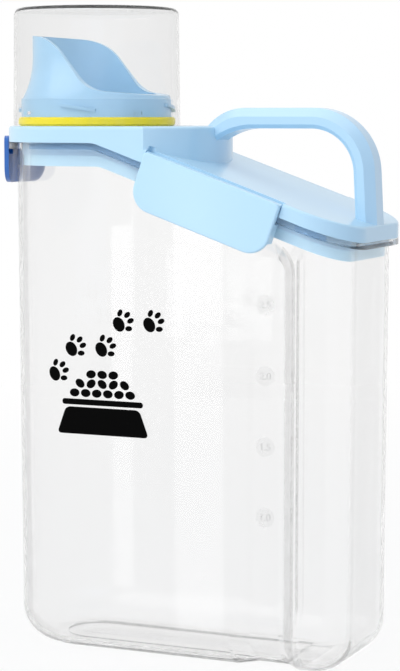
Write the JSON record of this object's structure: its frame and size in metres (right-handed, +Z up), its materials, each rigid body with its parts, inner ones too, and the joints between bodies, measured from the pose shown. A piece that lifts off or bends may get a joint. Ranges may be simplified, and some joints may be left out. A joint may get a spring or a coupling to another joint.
{
  "type": "pet food storage container",
  "caption": "Tall clear storage container for dry pet food with a latching sloped lid, carry handle, pour spout and clear measuring cup.",
  "frame": {"origin": "bottom centre of the overall size, on the surface that the tub stands on", "axes": "+X towards the carry handle, +Y towards the far long wall, +Z up"},
  "size_m": [0.2066, 0.101, 0.3326],
  "materials": {
    "clear_tub": "clear polished plastic",
    "clear_cup": "clear polished plastic",
    "lid_blue": "pale blue satin plastic",
    "handle_blue": "pale blue satin plastic",
    "latch_blue": "pale blue satin plastic",
    "spout_blue": "blue satin plastic",
    "seal_yellow": "yellow silicone",
    "seal_white": "translucent silicone",
    "hinge_pin": "smooth plastic"
  },
  "bodies": {
    "container": {"container_body": "clear_tub"},
    "lid": {"lid_shell": "lid_blue", "lid_gasket": "seal_white", "carry_handle": "handle_blue", "pour_spout": "spout_blue", "spout_seal_ring": "seal_yellow", "near_hinge_pin": "hinge_pin", "far_hinge_pin": "hinge_pin", "end_hinge_pin": "hinge_pin"},
    "cup": {"measuring_cup": "clear_cup"},
    "near_flap": {"near_latch": "latch_blue"},
    "far_flap": {"far_latch": "latch_blue"},
    "end_flap": {"end_latch": "latch_blue"}
  },
  "joints": [
    {"name": "lid_lift", "type": "slide", "parent": "container", "child": "lid", "axis": [0, 0, 1], "range_m": [0, 0.09]},
    {"name": "cup_lift", "type": "slide", "parent": "lid", "child": "cup", "axis": [0, 0, 1], "range_m": [0, 0.07]},
    {"name": "near_latch_swing", "type": "hinge", "parent": "lid", "child": "near_flap", "pos_m": [0.03197, -0.04615, 0.24486], "axis": [-0.9432, 0, 0.3322], "range_deg": [0, 100]},
    {"name": "far_latch_swing", "type": "hinge", "parent": "lid", "child": "far_flap", "pos_m": [0.03197, 0.04615, 0.24486], "axis": [0.9432, 0, -0.3322], "range_deg": [0, 100]},
    {"name": "end_latch_swing", "type": "hinge", "parent": "lid", "child": "end_flap", "pos_m": [-0.09805, 0, 0.2681], "axis": [0, 1, 0], "range_deg": [0, 85]}
  ]
}
